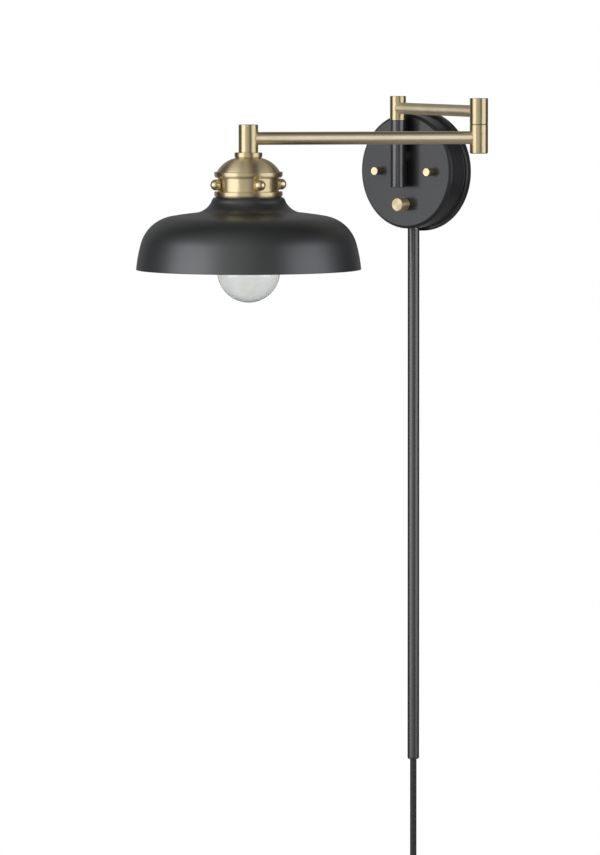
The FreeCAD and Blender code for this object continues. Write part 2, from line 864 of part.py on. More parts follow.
def make_stem_collar():
    bore = d.nipple_radius + d.fit_gap
    outline = [(bore, d.collar_bottom), soft(d.collar_radius, d.collar_bottom, d.collar_soft),
               soft(d.collar_radius, d.stem_bottom, d.edge_soft), (bore, d.stem_bottom)]
    return on_stem(turned("stem_collar", outline))


def make_stem_nipple():
    outline = ring_outline(d.nipple_bore, d.nipple_radius, d.nipple_bottom, d.nipple_top)
    return on_stem(turned("stem_nipple", outline))


def make_dome_cap():
    """The spun dome: its inner face is nearly the same arc, one sheet further in."""
    bore = d.nipple_radius + d.fit_gap
    sheet = d.sheet_thickness
    under = d.collar_bottom - sheet
    outline = [(bore, under), (d.dome_top_radius - d.dome_inset, under),
               bow(d.dome_radius - sheet, d.dome_bottom, sheet - d.dome_bow),
               (d.dome_radius, d.dome_bottom), bow(d.dome_top_radius, d.collar_bottom, d.dome_bow),
               (bore, d.collar_bottom)]
    return on_stem(turned("dome_cap", outline))


def make_nipple_nut():
    start = d.collar_bottom - d.sheet_thickness - d.nut_thickness
    bore = d.nipple_radius + d.fit_gap
    return on_stem(hex_nut("nipple_nut", d.nipple_nut_flats, bore, d.nut_thickness, start))


def stepped_ring(top):
    """A ring round the band, drawn downwards: a crisp upper edge, a short wall and a quarter round."""
    bottom = top - d.ring_height
    return [(d.ring_radius - d.edge_soft, top), bow(d.ring_radius, top - d.edge_soft, -d.edge_soft),
            (d.ring_radius, bottom + d.ring_round), bow(d.ring_radius - d.ring_round, bottom, -d.ring_round)]


def make_fitter_band():
    """The holder's band between its upper ring and its lower flange, threaded for the ball screws."""
    upper = d.dome_bottom
    lower = d.holder_bottom + d.ring_height
    outline = [(d.band_bore, upper), *stepped_ring(upper),
               (d.band_radius, upper - d.ring_height), (d.band_radius, lower), *stepped_ring(lower),
               (d.band_bore, d.holder_bottom)]
    band = on_stem(turned("fitter_band", outline))
    holes = [rod(d.stud_radius + d.fit_gap, d.cope_length, STEM_AT[0], STEM_AT[1], d.screw_height,
                 way_of(heading)) for heading in screw_headings()]
    return cut(band, *holes)


def screw_headings():
    """The four directions of the ball screws, a quarter turn apart."""
    return [d.screw_turn - 160.0 + 90.0 * number for number in range(4)]


def make_ball_screws():
    """Round-headed screws that clamp the shade's lip inside the band."""
    screws = []
    underside = d.band_radius + d.stud_start
    for heading in screw_headings():
        screw = turned("screw", [(0, d.lip_radius), (d.stud_radius, d.lip_radius), (d.stud_radius, underside),
                                 soft(d.screw_head_radius, underside, d.screw_head_soft),
                                 (d.screw_head_radius, d.screw_head_depth),
                                 bow(0, d.screw_head_depth + d.screw_head_radius, d.screw_head_radius)])
        towards = FreeCAD.Vector(*way_of(heading))
        rotation = FreeCAD.Rotation(FreeCAD.Vector(0, 0, 1), towards)
        screws.append(place(screw, STEM_AT[0], STEM_AT[1], d.screw_height, rotation))
    return group("ball_screws", screws)


# --- shade -------------------------------------------------------------------------------------------------

def inside(x, y, downward):
    """The inner face's point opposite an outer point, where the outline heads down at this angle."""
    angle = math.radians(downward)
    return (x - d.shade_sheet * math.sin(angle), y - d.shade_sheet * math.cos(angle))


def make_shade():
    """A spun shade: flared neck, shallow shoulder, round corner and a nearly upright wall."""
    neck_end = (d.neck_radius + d.neck_out, d.holder_bottom - d.neck_drop)
    flare_end = (d.neck_radius + d.flare_out, d.holder_bottom - d.flare_drop)
    shoulder_end = (d.rim_radius - d.shoulder_inset, d.rim_height + d.shoulder_rise)
    corner_end = (d.rim_radius - d.corner_inset, d.rim_height + d.corner_rise)
    neck_slope, shoulder_slope, wall_slope = 61.0, 8.5, 76.0
    sheet = d.shade_sheet
    neck_inner = d.neck_radius - d.neck_edge
    outline = [
        (d.lip_radius - sheet, d.lip_top),
        (d.lip_radius - sheet, d.holder_bottom - sheet),
        (neck_inner, d.holder_bottom - sheet),
        inside(*neck_end, neck_slope),
        bow(*inside(*flare_end, shoulder_slope), d.flare_bow + sheet),
        inside(*shoulder_end, shoulder_slope),
        bow(*inside(*corner_end, wall_slope), sheet - d.corner_bow),
        bow(d.rim_radius - sheet, d.rim_height, sheet - d.wall_bow),
        (d.rim_radius, d.rim_height),
        bow(*corner_end, d.wall_bow),
        bow(*shoulder_end, d.corner_bow),
        flare_end,
        bow(*neck_end, -d.flare_bow),
        (d.neck_radius, d.holder_bottom),
        (d.lip_radius, d.holder_bottom),
        (d.lip_radius, d.lip_top),
    ]
    return on_stem(turned("shade", outline))


# --- socket and bulb ---------------------------------------------------------------------------------------

def make_socket_cap():
    """The metal cup that holds the socket on the nipple."""
    sheet = d.socket_cap_sheet
    bore = d.nipple_radius + d.fit_gap
    inner = d.socket_radius + d.turning_gap
    outer = d.socket_radius + sheet
    under = d.nipple_bottom + d.socket_cap_gap
    top = under + sheet
    skirt = top - d.socket_cap_skirt
    outline = [(bore, under), (inner, under), (inner, skirt), (outer, skirt),
               soft(outer, top, 2.0 * d.edge_soft), (bore, top)]
    return on_stem(turned("socket_cap", outline))


def make_socket_body():
    """The phenolic socket, with the screw shell's cavity and a wire hole in its roof."""
    top = d.nipple_bottom - d.turning_gap
    outline = [(d.socket_wire_hole, d.socket_roof), (d.socket_bore, d.socket_roof),
               (d.socket_bore, d.socket_bottom), soft(d.socket_radius, d.socket_bottom, 2.0 * d.edge_soft),
               (d.socket_radius, top), (d.socket_wire_hole, top)]
    return on_stem(turned("socket_body", outline))


def make_socket_shell():
    """The thin screw shell inside the socket, with a hole in its roof for the contact."""
    outer = d.socket_bore - d.fit_gap
    inner = d.base_radius + d.shell_gap
    under = d.shell_roof - d.shell_sheet
    outline = [(d.shell_hole, under), (inner, under), (inner, d.shell_bottom), (outer, d.shell_bottom),
               (outer, d.shell_roof), (d.shell_hole, d.shell_roof)]
    return on_stem(turned("socket_shell", outline))


def make_socket_contact():
    outline = ring_outline(0, d.contact_radius, d.shell_roof, d.contact_top)
    return on_stem(turned("socket_contact", outline))


def make_bulb_base():
    """The bulb's thin screw base, with rolled threads and a crown that narrows to the insulator."""
    outer = d.base_radius
    groove = outer - d.thread_depth
    inner = d.base_radius - 2.0 * d.thread_depth
    lip = d.bulb_neck_radius + d.fit_gap
    outline = [(lip, d.base_bottom), (outer, d.base_bottom)]
    for turn in range(5):
        low = d.base_bottom + d.thread_pitch * (turn + 0.8)
        outline += [(groove, low), bow(groove, low + d.thread_pitch / 1.8, d.thread_bow)]
    outline += [(groove, d.base_shoulder), (d.base_crown_radius, d.base_crown),
                (d.base_crown_radius - d.base_sheet, d.base_crown - d.base_sheet),
                (inner, d.base_shoulder - d.thread_depth), (inner, d.bulb_neck_top + 2.0 * d.edge_soft),
                (lip, d.bulb_neck_top + d.thread_depth)]
    return on_stem(turned("bulb_base", outline))


def make_bulb_insulator():
    """The dark disc in the crown, with a sloping upper edge."""
    outline = [(0, d.insulator_bottom), (d.insulator_radius, d.insulator_bottom),
               (d.insulator_radius, d.base_crown - d.turning_gap),
               (d.insulator_radius - d.spigot_length, d.insulator_top), (0, d.insulator_top)]
    return on_stem(turned("bulb_insulator", outline))


def make_bulb_contact():
    bottom = d.insulator_top + d.turning_gap
    top = d.shell_roof - 2.0 * d.turning_gap
    corner = 2.0 * d.edge_soft
    outline = [(0, bottom), (d.solder_radius, bottom), soft(d.solder_radius, top, corner), (0, top)]
    return on_stem(turned("bulb_contact", outline))


def glass_profile(inset):
    """The A-type bulb's side, downwards: neck, hollow shoulder, then the sphere to its lowest point."""
    share = math.sin(math.radians(45.0))
    sphere = d.bulb_radius - inset
    neck = d.bulb_neck_radius - inset
    joint = (sphere * share, d.bulb_centre + sphere * share)
    shoulder = (joint[0] - neck) / (1.0 - share)
    start = (neck, joint[1] + shoulder * share)
    return start, joint, shoulder, sphere


def make_bulb_glass():
    outer_start, outer_joint, outer_shoulder, outer_sphere = glass_profile(0.0)
    inner_start, inner_joint, inner_shoulder, inner_sphere = glass_profile(d.glass_thickness)
    outline = [
        (inner_start[0], d.bulb_neck_top),
        inner_start,
        bow(*inner_joint, inner_shoulder),
        bow(inner_sphere, d.bulb_centre, -inner_sphere),
        bow(0, d.bulb_centre - inner_sphere, -inner_sphere),
        (0, d.bulb_centre - outer_sphere),
        bow(outer_sphere, d.bulb_centre, outer_sphere),
        bow(*outer_joint, outer_sphere),
        bow(*outer_start, -outer_shoulder),
        (outer_start[0], d.bulb_neck_top),
    ]
    return on_stem(turned("bulb_glass", outline))


def make_bulb_stem():
    """The glass mount inside the bulb that carries the filament."""
    outline = [(0, d.mount_top), (d.mount_foot_radius, d.mount_top),
               bow(d.mount_waist_radius, d.mount_waist, -d.mount_bow), (d.mount_tip_radius, d.mount_tip),
               (0, d.mount_tip - 2.0 * d.edge_soft)]
    return on_stem(turned("bulb_stem", outline))


def make_bulb_filament():
    """Two supports and the filament between them, one bent wire."""
    route = [(-2.4, 0, -60.5), (-10.0, 0, -74.0), (-12.5, 0, -86.0), (0, 7.0, -90.0), (12.5, 0, -86.0),
             (10.0, 0, -74.0), (2.4, 0, -60.5)]
    shape, _, _ = bent_rod(DIMENSIONS["filament_radius"], route, share=0.35)
    return on_stem(free_shape("bulb_filament", shape))


def free_shape(label, shape):
    feature = doc.addObject("Part::Feature", label)
    feature.Shape = shape
    return feature


# --- switch ------------------------------------------------------------------------------------------------

def on_switch(body):
    return place(body, 0, 0, d.switch_height, OUT_OF_WALL)


def make_switch_body():
    back = d.switch_back_depth
    face = d.canopy_depth - d.sheet_thickness
    bore = d.shaft_radius + d.fit_gap
    outline = [(0, back), soft(d.switch_body_radius, back, 2.0 * d.edge_soft), (d.switch_body_radius, face),
               (d.bushing_radius, face), (d.bushing_radius, d.bushing_end_depth), (bore, d.bushing_end_depth),
               (bore, d.shaft_start_depth), (0, d.shaft_start_depth)]
    return on_switch(turned("switch_body", outline))


def make_switch_nut():
    end = d.canopy_depth + d.switch_nut_thickness
    outline = ring_outline(d.bushing_radius + d.fit_gap, d.switch_nut_radius, d.canopy_depth, end)
    return on_switch(turned("switch_nut", outline))


def make_switch_shaft():
    start = d.shaft_start_depth + d.turning_gap
    return on_switch(turned("switch_shaft", ring_outline(0, d.shaft_radius, start, d.shaft_end_depth)))


def make_switch_knob():
    """A brass knob with a slightly larger face, hollow over the switch's bushing and nut."""
    start = d.canopy_depth + d.edge_soft
    face = d.knob_face_depth
    rim = face - d.knob_rim_length
    hollow = d.knob_neck_radius - d.knob_wall
    recess = d.bushing_end_depth + d.edge_soft
    bore = d.shaft_radius + d.fit_gap
    socket = d.shaft_end_depth + d.stud_start
    outline = [(hollow, start), (d.knob_neck_radius, start), (d.knob_neck_radius, rim - d.edge_soft),
               (d.knob_radius, rim), (d.knob_radius, face - d.edge_soft), (d.knob_radius - d.edge_soft, face),
               (0, face), (0, socket), (bore, socket), (bore, recess), (hollow, recess)]
    return on_switch(turned("switch_knob", outline))


# --- cord cover tube and the lead inside it ----------------------------------------------------------------

def on_tube(body):
    return place(body, 0, -d.tube_depth, 0)


def make_cord_tube():
    outline = ring_outline(d.tube_bore, d.tube_radius, d.tube_bottom + d.bush_length, d.tube_top)
    return on_tube(turned("cord_tube", outline))


def make_tube_nipple():
    """The flanged nipple that hangs the tube from the canopy's wall."""
    bore = d.lead_radius + d.thread_depth
    screw = d.tube_bore - d.fit_gap
    screw_end = d.tube_top - d.tube_screw_length
    shoulder = d.tube_top - d.turning_gap
    flange = d.tube_top + d.tube_flange_gap
    top = flange + d.tube_flange_thickness
    outline = [(bore, screw_end), (screw, screw_end), (screw, shoulder), (d.tube_neck_radius, shoulder),
               (d.tube_neck_radius, flange), (d.tube_flange_radius, flange), (d.tube_flange_radius, top),
               (bore, top)]
    return on_tube(turned("tube_nipple", outline))


def make_tube_end_bush():
    """The rounded bush in the tube's lower end, which the cord leaves through."""
    bore = d.lead_radius + d.shell_gap
    spigot = d.tube_bore - d.fit_gap
    shoulder = d.tube_bottom + d.bush_length
    top = shoulder + d.bush_spigot
    outline = [(bore, d.tube_bottom), soft(d.tube_radius, d.tube_bottom, d.bush_soft),
               (d.tube_radius, shoulder), (spigot, shoulder), (spigot, top), (bore, top)]
    return on_tube(turned("tube_end_bush", outline))


def make_inner_lead():
    top = d.tube_top + d.lead_past_tube
    lead = rod(d.lead_radius, top - d.tube_bottom, 0, -d.tube_depth, d.tube_bottom)
    lead.Label = "inner_lead"
    return lead


def make_wire_connectors():
    """Twist-on connectors in the canopy, mouths down: radius and height round each one."""
    outline = [(2.6, 0), (5.6, 0), (5.6, 6.0), (3.8, 19.0), (0, 20.0), (0, 6.0), (2.6, 6.0)]
    connectors = [place(turned("connector", outline), side * d.connector_side, -d.tube_depth,
                        d.connector_bottom) for side in (-1, 1)]
    return group("wire_connectors", connectors)


def make_canopy_wires():
    """Two conductors from the lead to the connectors, and one from the post's boss to a connector."""
    depth = -DIMENSIONS["tube_depth"]
    radius = DIMENSIONS["wire_radius"]
    wires = []
    for side in (-1, 1):
        route = [(side * 1.7, depth, -49.8), (side * 8.0, depth, -46.0), (side * 16.0, depth, -36.0),
                 (side * 20.0, depth, -18.0), (side * 20.8, depth, 0.0), (side * 20.9, depth, 13.5)]
        wires.append(free_shape("wire", bent_rod(radius, route)[0]))
    behind = depth + 3.7
    route = [(0, -28.0, 16.0), (0, -20.5, 16.0), (5.0, behind, 8.0), (11.0, behind, -3.0),
             (19.0, behind, -9.0), (23.0, depth + 1.7, 0.0), (23.4, depth, 13.5)]
    wires.append(free_shape("wire", bent_rod(radius, route)[0]))
    return group("canopy_wires", wires)


# --- supply cord -------------------------------------------------------------------------------------------

# The corners of the free cord, from the tube's end to the coil.
CORD_ROUTE = [
    (0.0, -19.2, -632.5),
    (0.0, -19.2, -757.0),
    (-13.0, -19.2, -792.0),
    (-35.0, -19.2, -822.0),
    (-46.0, -19.2, -857.0),
]


def make_cord_lead():
    """The free cord from the tube's end to the coil."""
    radius = DIMENSIONS["lead_radius"]
    shape, length, radii = bent_rod(radius, CORD_ROUTE)
    expected = math.pi * radius ** 2 * length
    print("cord bend radii, mm:", radii)
    print(f"cord length {length:.1f} mm, volume {shape.Volume:.0f} of {expected:.0f} mm3")
    return free_shape("cord_lead", shape)


def strand_step():
    """Across and into the wall: how far one of the outer strands lies from the bundle's middle."""
    angle = math.radians(DIMENSIONS["strand_angle"])
    return d.strand_offset * math.cos(angle), d.strand_offset * math.sin(angle)


def coil_depth():
    """The coil's middle depth: its outer strands are one spacing apart, and the lead joins the rear one."""
    return d.tube_depth + strand_step()[1]


def make_cord_coil():
    """The outer shape of the four turns that are put away."""
    coil = doc.addObject("Part::Torus", "cord_coil")
    bind(coil, "Radius1", d.coil_radius)
    bind(coil, "Radius2", d.coil_bundle_radius)
    return place(coil, 0, -coil_depth(), d.coil_height, OUT_OF_WALL)


def make_cord_tie():
    """A strap round the bundle where the lead joins it."""
    inner = d.coil_bundle_radius + d.tie_gap
    outline = ring_outline(inner, inner + d.tie_thickness, -d.tie_width / 2.0, d.tie_width / 2.0)
    return place(turned("cord_tie", outline), -d.coil_radius, -coil_depth(), d.coil_height)


def plug_place():
    """Where the last strand leaves the coil, straight down."""
    across, inward = strand_step()
    return -d.coil_radius - across, -coil_depth() - inward, d.coil_height - d.plug_drop


def make_plug_body():
    """A moulded plug: a ribbed tapered strain relief, then a round grip with a flat face."""
    outline = [(0, 0), (4.4, 0)]
    for rib in range(5):
        low = -4.0 - 5.0 * rib
        wide = 4.8 + 0.45 * rib
        outline += [(wide, low), (wide - 0.5, low - 1.2), (wide - 0.5, low - 2.6), (wide + 0.3, low - 3.8)]
    outline += [(9.0, -33.0), bow(13.2, -39.0, -6.0), (d.plug_radius - 0.6, -52.0), (d.plug_radius, -54.0),
                (d.plug_radius, -d.plug_length), (0, -d.plug_length)]
    return place(turned("plug_body", outline), *plug_place())


def make_plug_blades():
    """Two flat blades and a round earth pin."""
    x, y, z = plug_place()
    face = z - d.plug_length
    blades = []
    for side in (-1, 1):
        blade = doc.addObject("Part::Box", "Blade")
        bind(blade, "Length", d.blade_thickness)
        bind(blade, "Width", d.blade_width)
        bind(blade, "Height", d.blade_length)
        left = x + side * d.blade_side - d.blade_thickness / 2.0
        blades.append(place(blade, left, y - d.blade_width, face - d.blade_length))
    blades.append(rod(d.pin_radius, d.pin_length, x, y + d.pin_side, face, (0, 0, -1)))
    return group("plug_blades", blades)


# --- the whole sconce --------------------------------------------------------------------------------------

def make_arms():
    """The two tubes of the swing arm and the conductors in them."""
    first = make_arm_tube("first_arm_tube", HUB_AT, ELBOW_AT, d.first_arm_heading, d.first_arm_length,
                          d.first_arm_height, d.first_arm_radius, (d.hub_radius, d.elbow_radius))
    second = make_arm_tube("second_arm_tube", ELBOW_AT, STEM_AT, d.second_arm_heading, d.second_arm_length,
                           d.second_arm_height, d.second_arm_radius, (d.elbow_radius, d.stem_radius))
    first_wires = make_arm_wires("first_arm_wires", HUB_AT, d.first_arm_heading, d.first_arm_length,
                                 d.first_arm_height)
    second_wires = make_arm_wires("second_arm_wires", ELBOW_AT, d.second_arm_heading, d.second_arm_length,
                                  d.second_arm_height)
    return [first, second, first_wires, second_wires]


MAKERS = [
    make_crossbar, make_canopy_studs, make_ground_screw, make_rear_pan, make_canopy_cover, make_thumb_nuts,
    make_post_boss, make_boss_nut, make_post_tube, make_post_end_cap,
    make_hub_spindle, make_hub_washer, make_hub_nut, make_hub_barrel, make_hub_cap,
    make_elbow_upper_barrel, make_elbow_top_cap, make_elbow_spindle, make_elbow_washer, make_elbow_nut,
    make_elbow_lower_barrel, make_elbow_bottom_cap,
    make_stem_barrel, make_stem_cap, make_stem_collar, make_stem_nipple, make_nipple_nut,
    make_dome_cap, make_fitter_band, make_ball_screws, make_shade,
    make_socket_cap, make_socket_body, make_socket_shell, make_socket_contact,
    make_bulb_base, make_bulb_insulator, make_bulb_contact, make_bulb_glass, make_bulb_stem,
    make_bulb_filament,
    make_switch_body, make_switch_nut, make_switch_shaft, make_switch_knob,
    make_cord_tube, make_tube_nipple, make_tube_end_bush, make_inner_lead, make_wire_connectors,
    make_canopy_wires, make_cord_lead, make_cord_coil, make_cord_tie, make_plug_body, make_plug_blades,
]


def check_document():
    """Stop if any object failed to recompute."""
    for obj in doc.Objects:
        if "Invalid" in obj.State or "Error" in obj.State:
            raise RuntimeError(f"{obj.Label} failed: {obj.State}")


def export(nodes):
    """Write each sub-part's solids to its own file."""
    os.makedirs("parts", exist_ok=True)
    for node in nodes:
        shape = node.Shape
        if shape.isNull() or not shape.isValid() or shape.Volume < 1.0:
            raise RuntimeError(f"{node.Label} has no valid solid")
    for node in nodes:
        node.Shape.exportStep(f"parts/{node.Label}.step")
    print(f"{len(nodes)} sub-parts written")


def main():
    nodes = [make() for make in MAKERS] + make_arms()
    doc.recompute()
    check_document()
    export(nodes)


main()
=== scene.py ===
import json
import math

import bpy
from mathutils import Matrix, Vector


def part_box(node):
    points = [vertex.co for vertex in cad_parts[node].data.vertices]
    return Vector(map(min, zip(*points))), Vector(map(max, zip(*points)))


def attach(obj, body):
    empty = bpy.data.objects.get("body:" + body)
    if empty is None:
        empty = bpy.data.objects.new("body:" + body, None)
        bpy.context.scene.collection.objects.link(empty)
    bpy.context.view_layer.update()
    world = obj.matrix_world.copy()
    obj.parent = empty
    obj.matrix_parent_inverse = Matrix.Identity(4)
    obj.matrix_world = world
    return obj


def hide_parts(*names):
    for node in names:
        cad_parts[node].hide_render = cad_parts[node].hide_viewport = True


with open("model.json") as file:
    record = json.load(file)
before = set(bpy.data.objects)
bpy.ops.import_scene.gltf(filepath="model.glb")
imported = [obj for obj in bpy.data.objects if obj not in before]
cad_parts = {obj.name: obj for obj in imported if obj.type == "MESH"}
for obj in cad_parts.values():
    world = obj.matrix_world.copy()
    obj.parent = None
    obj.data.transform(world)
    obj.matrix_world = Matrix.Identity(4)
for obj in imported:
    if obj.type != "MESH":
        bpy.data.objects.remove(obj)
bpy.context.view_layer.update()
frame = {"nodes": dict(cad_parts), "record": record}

# Looks of the swing arm wall sconce, in metres and the CAD model's own frame:
# +X right, -Y out of the wall, +Z up.

NODES = frame["nodes"]


def centre_of(node):
    low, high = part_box(node)
    return (low + high) / 2


STEM = centre_of("stem_barrel")
ELBOW = centre_of("elbow_upper_barrel")
HUB = centre_of("hub_barrel")
KNOB = centre_of("switch_knob")
CAMERA_HEADING = math.radians(-52.3)


# --- camera ---------------------------------------------------------------------------------------

def add_camera():
    data = bpy.data.cameras.new("camera")
    data.sensor_width = 36.0
    data.lens = 204.24
    data.dof.use_dof = False
    camera = bpy.data.objects.new("camera", data)
    camera.location = (3.1807, -4.1086, 0.1487)
    camera.rotation_euler = (math.radians(90 - 4.6686), math.radians(0.08), math.radians(39.2135))
    bpy.context.scene.collection.objects.link(camera)
    bpy.context.scene.camera = camera


# --- shader helpers -------------------------------------------------------------------------------

class Tree:
    """The nodes of a material or world, with short calls that make one node and return its output."""

    def __init__(self, owner):
        owner.use_nodes = True
        self.tree = owner.node_tree

    def feed(self, socket, value):
        if isinstance(value, bpy.types.NodeSocket):
            self.tree.links.new(value, socket)
        else:
            socket.default_value = value

    def place(self):
        return self.tree.nodes.new("ShaderNodeTexCoord").outputs["Object"]

    def mapped(self, vector, scale=(1, 1, 1), rotation=(0, 0, 0), move=(0, 0, 0)):
        """The point moved, then turned, then scaled."""
        node = self.tree.nodes.new("ShaderNodeVectorMath")
        node.operation = "SUBTRACT"
        node.inputs[1].default_value = move
        self.feed(node.inputs[0], vector)
        turn = self.tree.nodes.new("ShaderNodeMapping")
        turn.inputs["Rotation"].default_value = rotation
        self.feed(turn.inputs["Vector"], node.outputs[0])
        grow = self.tree.nodes.new("ShaderNodeVectorMath")
        grow.operation = "MULTIPLY"
        grow.inputs[1].default_value = scale
        self.feed(grow.inputs[0], turn.outputs[0])
        return grow.outputs[0]

    def math(self, operation, a, b=0.0):
        node = self.tree.nodes.new("ShaderNodeMath")
        node.operation = operation
        self.feed(node.inputs[0], a)
        self.feed(node.inputs[1], b)
        return node.outputs[0]

    def tangent(self, axis, middle):
        """The direction round the axis through the middle, as the surface's brush strokes run."""
        offset = self.tree.nodes.new("ShaderNodeVectorMath")
        offset.operation = "SUBTRACT"
        offset.inputs[1].default_value = middle
        self.feed(offset.inputs[0], self.place())
        cross = self.tree.nodes.new("ShaderNodeVectorMath")
        cross.operation = "CROSS_PRODUCT"
        cross.inputs[0].default_value = axis
        self.feed(cross.inputs[1], offset.outputs[0])
        turn = self.tree.nodes.new("ShaderNodeVectorTransform")
        turn.vector_type = "VECTOR"
        turn.convert_from, turn.convert_to = "OBJECT", "WORLD"
        self.feed(turn.inputs[0], cross.outputs[0])
        return turn.outputs[0]

    def around(self, vector, scale):
        """Rings about the Z axis: the point's distance from the axis and its height, scaled."""
        split = self.tree.nodes.new("ShaderNodeSeparateXYZ")
        self.feed(split.inputs[0], vector)
        x, y, z = split.outputs
        squares = [self.math("MULTIPLY", part, part) for part in (x, y)]
        reach = self.math("SQRT", self.math("ADD", *squares))
        join = self.tree.nodes.new("ShaderNodeCombineXYZ")
        self.feed(join.inputs[0], self.math("MULTIPLY", reach, scale))
        self.feed(join.inputs[1], self.math("MULTIPLY", self.math("ARCTAN2", y, x), 1.2))
        self.feed(join.inputs[2], self.math("MULTIPLY", z, scale))
        return join.outputs[0]

    def noise(self, vector, scale, detail=3.0, roughness=0.5):
        node = self.tree.nodes.new("ShaderNodeTexNoise")
        node.inputs["Scale"].default_value = scale
        node.inputs["Detail"].default_value = detail
        node.inputs["Roughness"].default_value = roughness
        self.feed(node.inputs["Vector"], vector)
        return node.outputs["Fac"]

    def span(self, value, low, high, start=0.3, end=0.7):
        """The value's start..end stretched to low..high."""
        node = self.tree.nodes.new("ShaderNodeMapRange")
        self.feed(node.inputs["Value"], value)
        for socket, amount in zip(("From Min", "From Max", "To Min", "To Max"), (start, end, low, high)):
            node.inputs[socket].default_value = amount
        return node.outputs["Result"]

    def blend(self, value, first, second, start=0.35, end=0.65):
        """From the first colour to the second as the value goes from start to end."""
        node = self.tree.nodes.new("ShaderNodeValToRGB")
        low, high = node.color_ramp.elements
        low.position, high.position = start, end
        low.color, high.color = (*first, 1), (*second, 1)
        self.feed(node.inputs["Fac"], value)
        return node.outputs["Color"]

    def bump(self, height, distance, strength=0.5):
        node = self.tree.nodes.new("ShaderNodeBump")
        node.inputs["Distance"].default_value = distance
        node.inputs["Strength"].default_value = strength
        self.feed(node.inputs["Height"], height)
        return node.outputs["Normal"]


class Nodes(Tree):
    """A new material's nodes and its shader."""

    def __init__(self, name):
        self.material = bpy.data.materials.new(name)
        super().__init__(self.material)
        self.shader = self.tree.nodes["Principled BSDF"]

    def set(self, **values):
        for name, value in values.items():
            self.feed(self.shader.inputs[name.replace("_", " ")], value)


def mottled(name, dark, light, rough, grain=900.0, depth=0.00004, spread=25.0, **constants):
    """A plain finish with slow changes of tone, a fine grain in its roughness, and a fine bump."""
    m = Nodes(name)
    slow = m.noise(m.place(), spread)
    fine = m.noise(m.place(), grain, detail=2.0)
    both = m.math("ADD", fine, slow)
    m.set(Base_Color=m.blend(slow, dark, light), Roughness=m.span(both, *rough, 0.6, 1.4))
    m.set(Normal=m.bump(fine, depth), **constants)
    return m.material


# --- materials ------------------------------------------------------------------------------------

BRASS_DARK = (0.73, 0.60, 0.355)
BRASS_LIGHT = (0.85, 0.715, 0.45)
# The arms' brass colours are lighter than the barrels': partly a lighter, pinker brass, partly a painted
# highlight that brightens the arms' reflections.
ARM_DARK_PAINTED_LIT = (0.84, 0.70, 0.46)
ARM_LIGHT_PAINTED_LIT = (0.97, 0.85, 0.61)
UPRIGHT = (0.0, 0.0, 1.0)
OUT_OF_WALL = (0.0, -1.0, 0.0)


def brushed_brass(name, middle, axis=UPRIGHT, colours=(BRASS_DARK, BRASS_LIGHT)):
    """Antique brass, brushed round the axis through the middle: it stretches reflections along the axis."""
    m = Nodes(name)
    upright = Vector(axis).rotation_difference(Vector(UPRIGHT)).to_euler()
    turned = m.mapped(m.place(), rotation=upright, move=middle)
    strokes = m.noise(m.around(turned, 2600.0), 1.0, detail=4.0)
    patina = m.noise(m.place(), 42.0, detail=4.0)
    tone = m.math("ADD", m.math("MULTIPLY", strokes, 0.5), m.math("MULTIPLY", patina, 0.5))
    m.set(Base_Color=m.blend(tone, *colours, 0.30, 0.66))
    m.set(Metallic=1.0, Roughness=m.span(tone, 0.38, 0.44), Anisotropic=0.93, Anisotropic_Rotation=0.25)
    m.set(Tangent=m.tangent(axis, middle), Normal=m.bump(strokes, 0.00002, 0.12))
    return m.material


def cast_brass(name):
    """The small brass heads, polished in no one direction."""
    m = Nodes(name)
    patina = m.noise(m.place(), 160.0, detail=4.0)
    fine = m.noise(m.place(), 1800.0)
    m.set(Base_Color=m.blend(patina, BRASS_DARK, BRASS_LIGHT), Metallic=1.0)
    m.set(Roughness=m.span(fine, 0.30, 0.38), Normal=m.bump(fine, 0.00003, 0.2))
    return m.material


def black_enamel(name, base=(0.014, 0.014, 0.015), rough=(0.25, 0.31), gloss=1.95):
    """Satin black powder coat, with a fine orange peel. A higher gloss reflects more."""
    m = Nodes(name)
    peel = m.noise(m.place(), 850.0, detail=2.0)
    slow = m.noise(m.place(), 18.0)
    light = tuple(1.35 * part for part in base)
    m.set(Base_Color=m.blend(slow, base, light), Roughness=m.span(slow, *rough))
    m.set(IOR=gloss, Normal=m.bump(peel, 0.00004, 0.1))
    return m.material


def white_enamel(name):
    return mottled(name, (0.78, 0.78, 0.76), (0.86, 0.86, 0.84), (0.38, 0.5), 700.0)


def zinc_steel(name):
    """Zinc plate: bright, with soft blue and straw patches."""
    m = Nodes(name)
    patches = m.noise(m.place(), 120.0)
    fine = m.noise(m.place(), 1500.0)
    m.set(Base_Color=m.blend(patches, (0.50, 0.53, 0.58), (0.70, 0.68, 0.60)), Metallic=1.0)
    m.set(Roughness=m.span(fine, 0.26, 0.42), Normal=m.bump(fine, 0.00003, 0.3))
    return m.material


def green_screw(name):
    return mottled(name, (0.02, 0.19, 0.06), (0.05, 0.30, 0.11), (0.28, 0.42), 1500.0, Metallic=0.7)


def nylon(name):
    return mottled(name, (0.020, 0.020, 0.020), (0.035, 0.035, 0.034), (0.4, 0.52), 600.0)


def phenolic(name):
    return mottled(name, (0.016, 0.013, 0.012), (0.03, 0.025, 0.022), (0.3, 0.42), 500.0)


def cord_jacket(name):
    """Black PVC jacket: satin, with faint marks along and across from handling."""
    m = Nodes(name)
    fine = m.noise(m.place(), 1400.0)
    marks = m.noise(m.mapped(m.place(), scale=(1, 1, 4)), 90.0, detail=5.0)
    m.set(Base_Color=m.blend(marks, (0.016, 0.016, 0.017), (0.032, 0.032, 0.034)))
    m.set(Roughness=m.span(marks, 0.34, 0.5), Normal=m.bump(fine, 0.00005, 0.4))
    return m.material


def plug_plastic(name):
    return mottled(name, (0.018, 0.018, 0.019), (0.03, 0.03, 0.032), (0.42, 0.56), 1100.0, 0.00008)


def connector_plastic(name):
    return mottled(name, (0.62, 0.20, 0.03), (0.74, 0.28, 0.05), (0.36, 0.5), 800.0)


